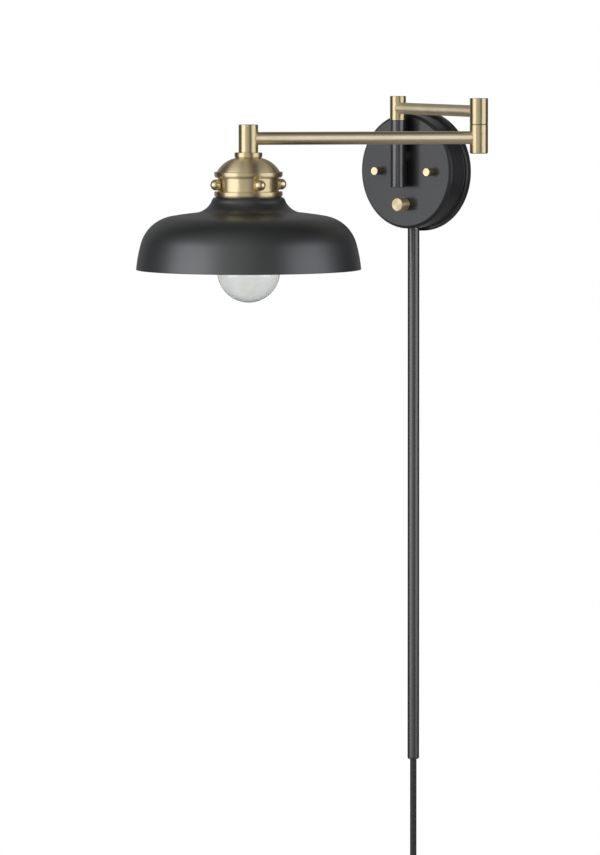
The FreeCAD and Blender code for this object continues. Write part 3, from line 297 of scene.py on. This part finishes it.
def wire_insulation(name):
    return mottled(name, (0.60, 0.60, 0.57), (0.72, 0.72, 0.69), (0.34, 0.46), 900.0)


def hook_and_loop(name):
    """The strap's fuzzy weave: small crossed ribs under short loops."""
    m = Nodes(name)
    fuzz = m.noise(m.place(), 2600.0, detail=5.0, roughness=0.7)
    weave = m.noise(m.mapped(m.place(), scale=(1, 1, 3)), 700.0)
    m.set(Base_Color=m.blend(fuzz, (0.010, 0.010, 0.011), (0.045, 0.045, 0.048)))
    m.set(Roughness=m.span(weave, 0.8, 0.95), Normal=m.bump(fuzz, 0.0003, 0.8))
    m.set(Sheen_Weight=0.4, Sheen_Roughness=0.5)
    return m.material


def plated_metal(name, dark, light, rough=(0.2, 0.34)):
    return mottled(name, dark, light, rough, 1600.0, 0.00002, 60.0, Metallic=1.0)


def clear_glass(name):
    """Bulb glass with a faint bloom."""
    m = Nodes(name)
    bloom = m.noise(m.place(), 55.0, detail=2.0)
    m.set(Base_Color=m.blend(bloom, (0.90, 0.91, 0.89), (0.97, 0.98, 0.96)))
    m.set(Roughness=m.span(bloom, 0.03, 0.10), IOR=1.45, Transmission_Weight=0.96)
    m.set(Normal=m.bump(m.noise(m.place(), 30.0), 0.0002, 0.2))
    return m.material


def filament_metal(name):
    return mottled(name, (0.16, 0.15, 0.14), (0.30, 0.28, 0.25), (0.4, 0.55), 3000.0, Metallic=1.0)


def arm_brass(name, tube, start, end):
    """Brass of an arm's tube, lighter than the barrels': partly its own lighter, pinker brass and partly a
    painted highlight that brightens the arm's reflections. Brushed round its level axis from one joint to
    the next.
    """
    way = end - start
    axis = Vector((way.x, way.y, 0)).normalized()
    return brushed_brass(name, centre_of(tube), axis, (ARM_DARK_PAINTED_LIT, ARM_LIGHT_PAINTED_LIT))


def make_finishes():
    """One material for each slot in the record, and the brass ones for each turned axis and arm."""
    return {
        "black_enamel": black_enamel("black_enamel"),
        "canopy_enamel": black_enamel("canopy_enamel", gloss=1.60),
        "shade_enamel": black_enamel("shade_enamel", (0.013, 0.014, 0.014), (0.38, 0.43), 1.9),
        "shade_inside": white_enamel("shade_inside"),
        "brass_hub": brushed_brass("brass_hub", HUB),
        "brass_elbow": brushed_brass("brass_elbow", ELBOW),
        "brass_stem": brushed_brass("brass_stem", STEM),
        "brass_first_arm": arm_brass("brass_first_arm", "first_arm_tube", HUB, ELBOW),
        "brass_second_arm": arm_brass("brass_second_arm", "second_arm_tube", ELBOW, STEM),
        "brass_knob": brushed_brass("brass_knob", KNOB, OUT_OF_WALL),
        "brass_heads": cast_brass("brass_heads"),
        "zinc_steel": zinc_steel("zinc_steel"),
        "green_screw": green_screw("green_screw"),
        "nylon_washer": nylon("nylon_washer"),
        "black_phenolic": phenolic("black_phenolic"),
        "cord_jacket": cord_jacket("cord_jacket"),
        "connector_plastic": connector_plastic("connector_plastic"),
        "wire_insulation": wire_insulation("wire_insulation"),
        "tie_plastic": hook_and_loop("tie_plastic"),
        "plug_plastic": plug_plastic("plug_plastic"),
        "plug_brass": plated_metal("plug_brass", (0.62, 0.48, 0.24), (0.78, 0.62, 0.34)),
        "nickel_base": plated_metal("nickel_base", (0.56, 0.55, 0.52), (0.70, 0.69, 0.66)),
        "solder": plated_metal("solder", (0.42, 0.42, 0.43), (0.55, 0.55, 0.56), (0.35, 0.5)),
        "clear_glass": clear_glass("clear_glass"),
        "filament": filament_metal("filament"),
    }


# The nodes whose finish is a closer match than their slot's own.
CLOSER_FINISHES = {
    "canopy_enamel": ("canopy_cover", "rear_pan"),
    "brass_hub": ("hub_barrel", "hub_cap"),
    "brass_elbow": ("elbow_upper_barrel", "elbow_top_cap", "elbow_lower_barrel", "elbow_bottom_cap"),
    "brass_stem": ("stem_barrel", "stem_cap", "stem_collar", "dome_cap", "fitter_band"),
    "brass_first_arm": ("first_arm_tube",),
    "brass_second_arm": ("second_arm_tube",),
    "brass_knob": ("switch_knob",),
    "brass_heads": ("thumb_nuts", "ball_screws"),
}


def dress_nodes(finishes):
    """Give each CAD node its closer finish, or that of its slot in the record."""
    closer = {node: name for name, nodes in CLOSER_FINISHES.items() for node in nodes}
    for part in frame["record"]["subparts"]:
        slots = NODES[part["node"]].data.materials
        slots.clear()
        slots.append(finishes[closer.get(part["node"], part["material_slot"])])


# --- mesh helpers ---------------------------------------------------------------------------------

def new_piece(name, data, finishes, body):
    piece = bpy.data.objects.new(name, data)
    for finish in finishes:
        data.materials.append(finish)
    bpy.context.scene.collection.objects.link(piece)
    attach(piece, body)
    return piece


def arc(start, end, radius, steps=16):
    """Points on the arc from start to end, without start. A positive radius turns left."""
    a, b = Vector(start), Vector(end)
    half = (b - a) / 2
    rise = math.sqrt(max(radius * radius - half.length_squared, 0.0)) / half.length
    centre = a + half + Vector((-half.y, half.x)) * (rise if radius > 0 else -rise)
    first = math.atan2(a.y - centre.y, a.x - centre.x)
    turn = math.remainder(math.atan2(b.y - centre.y, b.x - centre.x) - first, 2 * math.pi)
    reach = abs(radius)
    angles = [first + turn * i / steps for i in range(1, steps + 1)]
    return [(centre.x + reach * math.cos(a), centre.y + reach * math.sin(a)) for a in angles]


def lathe(name, outline, axis, steps=192):
    """A closed ring of the outline's (radius, height) points, turned about a vertical axis."""
    points = []
    for i in range(steps):
        a = 2 * math.pi * i / steps
        points += [(axis.x + r * math.cos(a), axis.y + r * math.sin(a), z) for r, z in outline]
    count = len(outline)
    faces = []
    for i in range(steps):
        here, there = i * count, (i + 1) % steps * count
        for k in range(count):
            after = (k + 1) % count
            faces.append((here + k, there + k, there + after, here + after))
    mesh = bpy.data.meshes.new(name)
    mesh.from_pydata(points, [], faces)
    mesh.shade_smooth()
    return mesh


# --- supply cord ----------------------------------------------------------------------------------

CORD_DIAMETER = 0.007
COIL_TURNS = 4
POINTS_PER_TURN = 16


def coil_points(coil):
    """The turns of the coil, side by side, seen from the room they go down on the left first."""
    coil_radius, bundle_radius = 0.041, 0.00617
    first_lay, last_lay = math.radians(36), math.radians(324)
    count = COIL_TURNS * POINTS_PER_TURN
    points = []
    for i in range(count + 1):
        along = math.pi + 2 * math.pi * i / POINTS_PER_TURN
        lay = first_lay + (last_lay - first_lay) * i / count
        reach = coil_radius + bundle_radius * math.cos(lay)
        depth = coil.y + bundle_radius * math.sin(lay)
        points.append((reach * math.cos(along), depth, coil.z + reach * math.sin(along)))
    return points


def add_cord(finishes):
    coil = centre_of("cord_coil")
    low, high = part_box("plug_body")
    exit_point = (0.0, -0.0192, -0.6325)
    lead = [exit_point, (0, -0.0192, -0.7197), (0, -0.0192, -0.757), (-0.013, -0.0192, -0.792),
            (-0.035, -0.0192, -0.822)]
    turns = coil_points(coil)
    plug_top = ((low.x + high.x) / 2, (low.y + high.y) / 2, high.z - 0.002)
    points = lead + turns + [plug_top]
    data = bpy.data.curves.new("cord", "CURVE")
    data.dimensions = "3D"
    data.bevel_depth = CORD_DIAMETER / 2
    data.bevel_resolution = 6
    data.resolution_u = 8
    data.use_fill_caps = True
    spline = data.splines.new("NURBS")
    spline.points.add(len(points) - 1)
    for point, place in zip(spline.points, points):
        point.co = (*place, 1)
    spline.order_u = 3
    spline.use_endpoint_u = True
    cord = new_piece("cord", data, [finishes["cord_jacket"]], "wall_base")
    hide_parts("cord_lead", "cord_coil")
    strap = add_strap(finishes, coil)


def add_strap(finishes, coil):
    """A strap wound once round the bundle, its end lapped over its start."""
    low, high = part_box("cord_tie")
    centre = (low + high) / 2
    inner, thickness, half_width = 0.0101, 0.0011, (high.z - low.z) / 2
    steps, lap = 72, math.radians(70)
    lift_start, lift_turn = 1.4 * math.pi, 0.5 * math.pi
    points, faces = [], []
    for i in range(steps + 1):
        turn = -lap / 2 + (2 * math.pi + lap) * i / steps
        lift = thickness * min(max((turn - lift_start) / lift_turn, 0.0), 1.0)
        for reach in (inner + lift, inner + lift + thickness):
            x, y = centre.x + reach * math.cos(turn), centre.y + reach * math.sin(turn)
            points += [(x, y, centre.z - half_width), (x, y, centre.z + half_width)]
    for i in range(steps):
        a, b = 4 * i, 4 * i + 4
        faces += [(a, b, b + 1, a + 1), (a + 3, b + 3, b + 2, a + 2)]
        faces += [(a + 2, b + 2, b, a), (a + 1, b + 1, b + 3, a + 3)]
    faces += [(0, 1, 3, 2), (4 * steps + 2, 4 * steps + 3, 4 * steps + 1, 4 * steps)]
    mesh = bpy.data.meshes.new("strap")
    mesh.from_pydata(points, [], faces)
    strap = new_piece("strap", mesh, [finishes["tie_plastic"]], "wall_base")
    bevel = strap.modifiers.new("edges", "BEVEL")
    bevel.width = 0.0004
    bevel.segments = 3
    mesh.shade_smooth()
    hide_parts("cord_tie")
    return strap


# --- shade ----------------------------------------------------------------------------------------

def shade_outline(sheet=0.001):
    """The spun shade's section, down the inside and up the outside, and the count of its inside points."""
    low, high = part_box("shade")
    rim_radius, rim, top = (high.x - low.x) / 2, low.z, high.z
    neck, lip, neck_top = 0.0354, 0.028, -0.0188
    neck_slope, shoulder_slope, wall_slope = 61, 8.5, 76
    roll, flare, corner, wall, slack = 0.012, 0.021, 0.0385, 0.140, 0.35
    neck_end, flare_end = (neck + 0.0025, neck_top - 0.0046), (neck + 0.0176, neck_top - 0.0153)
    shoulder_end, corner_end = (rim_radius - 0.0355, rim + 0.0544), (rim_radius - 0.0044, rim + 0.0254)

    def within(point, downward):
        a = math.radians(downward)
        return (point[0] - sheet * math.sin(a), point[1] - sheet * math.cos(a))

    inside = [(lip - sheet, top), (lip - sheet, neck_top - sheet), (neck - 0.0007, neck_top - sheet)]
    inside += [within(neck_end, neck_slope)]
    inside += arc(inside[-1], within(flare_end, shoulder_slope), flare + sheet, 12)
    inside += arc(inside[-1], within(shoulder_end, shoulder_slope), -slack, 8)
    inside += arc(inside[-1], within(corner_end, wall_slope), sheet - corner, 24)
    inside += arc(inside[-1], (rim_radius - sheet, rim + sheet), sheet - wall, 12)
    edge = arc((rim_radius - sheet, rim + sheet / 2), (rim_radius, rim + sheet / 2), sheet / 2, 8)
    outside = [(rim_radius, rim + sheet)]
    outside += arc(outside[-1], corner_end, wall, 12)
    outside += arc(corner_end, shoulder_end, corner, 24)
    outside += arc(shoulder_end, flare_end, slack, 8)
    outside += arc(flare_end, neck_end, -flare, 12)
    outside += arc(neck_end, (neck, neck_top), roll, 6)
    outside += [(neck - 0.0008, neck_top), (lip, neck_top), (lip, top)]
    return inside + edge + outside, len(inside)


def add_shade(finishes):
    """The shade with a rolled edge, black outside and white inside."""
    outline, first_outside = shade_outline()
    mesh = lathe("shade_skin", outline, STEM)
    enamels = [finishes["shade_enamel"], finishes["shade_inside"]]
    shade = new_piece("shade_skin", mesh, enamels, "second_arm")
    for i, face in enumerate(mesh.polygons):
        face.material_index = 1 if i % len(outline) < first_outside - 1 else 0
    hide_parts("shade")


# --- light and floor ------------------------------------------------------------------------------

def add_softbox(name, heading, elevation, distance, size, power, aim=(0.1, -0.25, 0.0)):
    """A rectangular light that faces the sconce. The heading is from the camera's, to the right."""
    data = bpy.data.lights.new(name, "AREA")
    data.shape = "RECTANGLE"
    data.size, data.size_y = size
    data.energy = power
    data.color = (0.98, 1.0, 1.07)
    light = bpy.data.objects.new(name, data)
    a, e = CAMERA_HEADING + math.radians(heading), math.radians(elevation)
    way = Vector((math.cos(a) * math.cos(e), math.sin(a) * math.cos(e), math.sin(e)))
    light.location = Vector(aim) + way * distance
    light.rotation_euler = way.to_track_quat("Z", "Y").to_euler()
    light.visible_camera = False
    bpy.context.scene.collection.objects.link(light)


# The room's tone round the horizon: degrees to the right of the camera, and tone.
ROOM = [(-180, 0.32), (-142, 0.32), (-130, 0.05), (-108, 0.05), (-92, 0.25), (-40, 0.76), (-2, 0.72),
        (26, 0.14), (100, 0.16), (115, 0.05), (140, 0.05), (152, 0.32), (180, 0.32)]
# The share of it that is left, by the height of the direction's unit vector.
HEIGHTS = [(-1.0, 0.1), (-0.6, 0.25), (-0.3, 1.0), (0.5, 1.0), (0.75, 0.7), (1.0, 0.4)]


def tone_ramp(m, value, stops):
    """Greys that follow the value through its (value, grey) stops."""
    low, high = stops[0][0], stops[-1][0]
    node = m.tree.nodes.new("ShaderNodeValToRGB")
    elements = node.color_ramp.elements
    for at, grey in stops[1:-1]:
        elements.new((at - low) / (high - low)).color = (grey, grey, grey, 1)
    for element, (_, grey) in ((elements[0], stops[0]), (elements[-1], stops[-1])):
        element.color = (grey, grey, grey, 1)
    m.feed(node.inputs["Fac"], m.span(value, 0.0, 1.0, low, high))
    return node.outputs["Color"]


def room_colour(m):
    """The room's grey in each direction."""
    way = m.tree.nodes.new("ShaderNodeTexCoord").outputs["Generated"]
    split = m.tree.nodes.new("ShaderNodeSeparateXYZ")
    m.feed(split.inputs[0], m.mapped(way, rotation=(0, 0, -CAMERA_HEADING)))
    x, y, z = split.outputs
    heading = m.math("MULTIPLY", m.math("ARCTAN2", y, x), 180 / math.pi)
    product = m.tree.nodes.new("ShaderNodeVectorMath")
    product.operation = "MULTIPLY"
    m.feed(product.inputs[0], tone_ramp(m, heading, ROOM))
    m.feed(product.inputs[1], tone_ramp(m, z, HEIGHTS))
    return product.outputs[0]


def background(m, colour):
    light = m.tree.nodes.new("ShaderNodeBackground")
    m.feed(light.inputs["Color"], colour)
    return light.outputs[0]


def add_world():
    """White to the eye, slightly grey through glass, and the dim room to light by."""
    world = bpy.data.worlds.new("studio")
    bpy.context.scene.world = world
    m = Tree(world)
    m.tree.nodes.clear()
    path = m.tree.nodes.new("ShaderNodeLightPath")
    result = background(m, room_colour(m))
    for tone, ray in ((0.92, "Is Transmission Ray"), (1.0, "Is Camera Ray")):
        mix = m.tree.nodes.new("ShaderNodeMixShader")
        m.feed(mix.inputs["Fac"], path.outputs[ray])
        m.feed(mix.inputs[1], result)
        m.feed(mix.inputs[2], background(m, (tone, tone, tone, 1)))
        result = mix.outputs[0]
    m.feed(m.tree.nodes.new("ShaderNodeOutputWorld").inputs["Surface"], result)


def add_floor():
    half, height = 2.4, -1.4
    mesh = bpy.data.meshes.new("floor")
    corners = [(-half, -half), (half, -half), (half, half), (-half, half)]
    mesh.from_pydata([(x, y, height) for x, y in corners], [], [(0, 1, 2, 3)])
    floor = bpy.data.objects.new("floor", mesh)
    grey = mottled("floor", (0.50, 0.50, 0.49), (0.54, 0.54, 0.53), (0.7, 0.85), 60.0, 0.0002, 3.0)
    mesh.materials.append(grey)
    bpy.context.scene.collection.objects.link(floor)


# --- the whole scene ------------------------------------------------------------------------------


def main():
    add_camera()
    finishes = make_finishes()
    add_cord(finishes)
    dress_nodes(finishes)
    add_shade(finishes)
    add_softbox("left_softbox", -60.5, 5, 2.6, (2.2, 2.4), 28.5)
    add_softbox("right_softbox", 66, 5, 2.6, (2.5, 2.4), 29)
    add_world()
    add_floor()
    bpy.context.scene.view_settings.view_transform = "Standard"


main()
